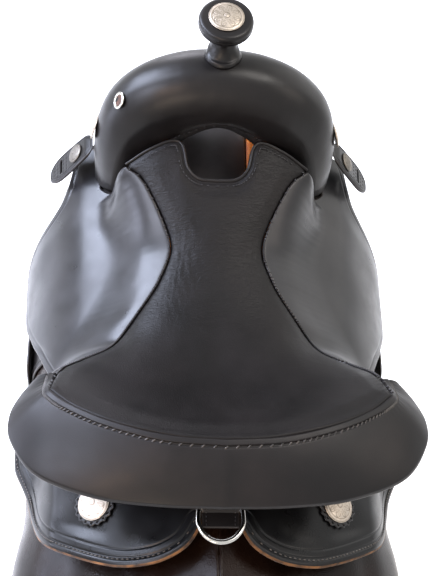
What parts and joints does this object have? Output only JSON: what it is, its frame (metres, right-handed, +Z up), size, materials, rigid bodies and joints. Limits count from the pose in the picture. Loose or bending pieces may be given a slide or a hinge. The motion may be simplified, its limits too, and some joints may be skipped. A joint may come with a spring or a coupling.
{
  "type": "western trail saddle",
  "caption": "Black western trail saddle with horn, round padded swell, padded seat, rolled cantle, jockeys, skirts, fenders and stirrups.",
  "frame": {"origin": "on the centre plane, level with the inner edge of the tree bars' seat on the skirts, half way along the bars", "axes": "+X the saddle's right side, +Y forward to the horn, +Z up"},
  "size_m": [0.4318, 0.5956, 0.7452],
  "materials": {
    "seat_leather": "satin, fine grain",
    "polished_leather": "polished, smooth",
    "skirt_leather": "glossy, coarse grain",
    "strap_leather": "satin",
    "rawhide": "glossy amber rawhide",
    "ground_leather": "rough",
    "foam": "matte closed-cell foam",
    "fleece": "matte fleece",
    "silver": "engraved silver plate",
    "nickel": "polished nickel"
  },
  "bodies": {
    "saddle": {"cantle_back": "seat_leather", "cantle_roll": "seat_leather", "horn_cap": "seat_leather", "horn_neck": "seat_leather", "notch_binding": "seat_leather", "seat_cover": "seat_leather", "swell_cover": "seat_leather", "dee_keeper": "polished_leather", "gullet_strainer": "polished_leather", "front_jockey_left": "polished_leather", "front_jockey_right": "polished_leather", "rear_jockey_left": "polished_leather", "rear_jockey_right": "polished_leather", "rosette_left": "polished_leather", "rosette_right": "polished_leather", "seat_jockey_left": "polished_leather", "seat_jockey_right": "polished_leather", "skirt_left": "skirt_leather", "skirt_right": "skirt_leather", "rigging_strap_left": "strap_leather", "rigging_strap_right": "strap_leather", "stirrup_leather_left": "strap_leather", "stirrup_leather_right": "strap_leather", "fork": "rawhide", "tree_bar_left": "rawhide", "tree_bar_right": "rawhide", "cantle_core": "ground_leather", "ground_seat": "ground_leather", "seat_foam": "foam", "woolskin_left": "fleece", "woolskin_right": "fleece", "horn_concho": "silver", "rear_concho_left": "silver", "rear_concho_right": "silver", "swell_concho_left": "silver", "swell_concho_right": "silver", "eyelet_left": "nickel"},
    "rear_dee": {"rear_dee": "nickel"},
    "rigging_dee_left": {"rigging_dee_left": "nickel"},
    "rigging_dee_right": {"rigging_dee_right": "nickel"},
    "latigo_keeper_left": {"latigo_keeper_left": "strap_leather", "keeper_concho_left": "silver"},
    "latigo_keeper_right": {"latigo_keeper_right": "strap_leather", "keeper_concho_right": "silver"},
    "fender_left": {"fender_left": "polished_leather", "stirrup_neck_left": "strap_leather", "stirrup_bolt_left": "nickel"},
    "fender_right": {"fender_right": "polished_leather", "stirrup_neck_right": "strap_leather", "stirrup_bolt_right": "nickel"},
    "stirrup_left": {"stirrup_left": "polished_leather"},
    "stirrup_right": {"stirrup_right": "polished_leather"}
  },
  "joints": [
    {"name": "rear_dee_hinge", "type": "hinge", "parent": "saddle", "child": "rear_dee", "pos_m": [0, -0.234, 0.04754], "axis": [-1, 0, 0], "range_deg": [0, 65]},
    {"name": "rigging_dee_left_hinge", "type": "hinge", "parent": "saddle", "child": "rigging_dee_left", "pos_m": [-0.20287, 0.097, -0.17971], "axis": [0, 1, 0], "range_deg": [0, 60]},
    {"name": "latigo_keeper_left_hinge", "type": "hinge", "parent": "saddle", "child": "latigo_keeper_left", "pos_m": [-0.135, 0.19, 0.025], "axis": [0, 1, 0], "range_deg": [0, 35]},
    {"name": "fender_left_swing", "type": "hinge", "parent": "saddle", "child": "fender_left", "pos_m": [-0.20377, 0.002, -0.15], "axis": [1, 0, 0], "range_deg": [-14, 4]},
    {"name": "stirrup_left_swing", "type": "hinge", "parent": "fender_left", "child": "stirrup_left", "pos_m": [-0.19487, 0.002, -0.4], "axis": [0, 1, 0], "range_deg": [-25, 25]},
    {"name": "rigging_dee_right_hinge", "type": "hinge", "parent": "saddle", "child": "rigging_dee_right", "pos_m": [0.20287, 0.097, -0.17971], "axis": [0, -1, 0], "range_deg": [0, 60]},
    {"name": "latigo_keeper_right_hinge", "type": "hinge", "parent": "saddle", "child": "latigo_keeper_right", "pos_m": [0.135, 0.19, 0.025], "axis": [0, -1, 0], "range_deg": [0, 35]},
    {"name": "fender_right_swing", "type": "hinge", "parent": "saddle", "child": "fender_right", "pos_m": [0.20377, 0.002, -0.15], "axis": [1, 0, 0], "range_deg": [-14, 4]},
    {"name": "stirrup_right_swing", "type": "hinge", "parent": "fender_right", "child": "stirrup_right", "pos_m": [0.19487, 0.002, -0.4], "axis": [0, 1, 0], "range_deg": [-25, 25]}
  ]
}
